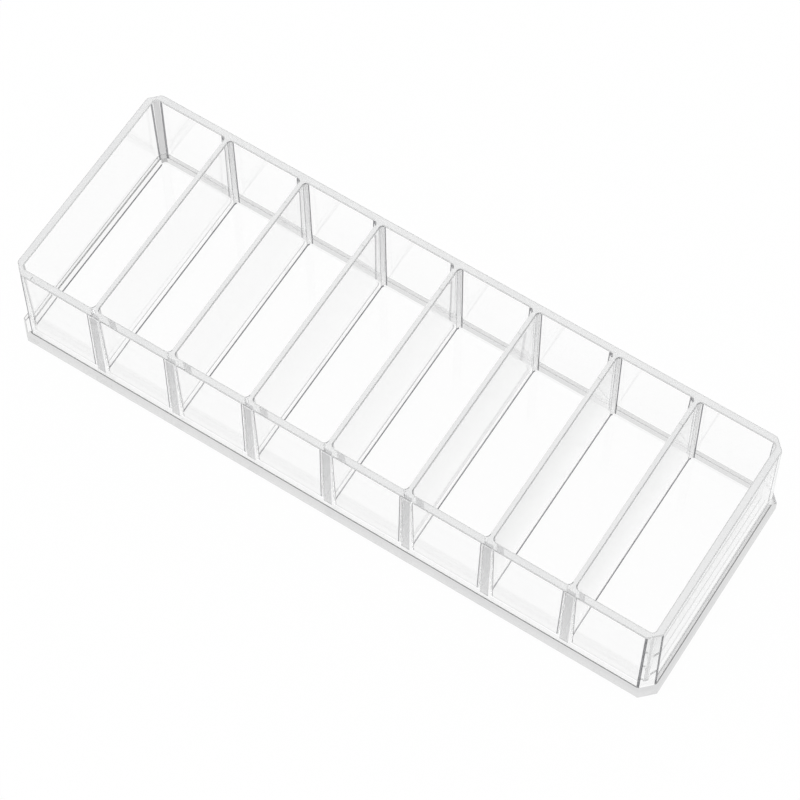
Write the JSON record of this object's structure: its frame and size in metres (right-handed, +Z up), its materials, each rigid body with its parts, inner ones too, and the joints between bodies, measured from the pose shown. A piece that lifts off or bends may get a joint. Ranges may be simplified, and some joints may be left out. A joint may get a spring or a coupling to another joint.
{
  "type": "vanity organizer",
  "caption": "Long clear vanity tray, open at the top, parted by cross dividers into a row of equal compartments on a flanged base.",
  "frame": {"origin": "centre of the underside of the base plate, on the table", "axes": "+X along the row of compartments, +Y to the back, +Z up"},
  "size_m": [0.234, 0.081, 0.0418],
  "materials": {
    "clear_base": "water-clear, polished",
    "clear_walls": "water-clear, polished",
    "clear_dividers": "water-clear, polished"
  },
  "bodies": {
    "root": {"base_plate": "clear_base", "wall_frame": "clear_walls", "divider_1": "clear_dividers", "divider_2": "clear_dividers", "divider_3": "clear_dividers", "divider_4": "clear_dividers", "divider_5": "clear_dividers", "divider_6": "clear_dividers", "divider_7": "clear_dividers"}
  },
  "joints": []
}
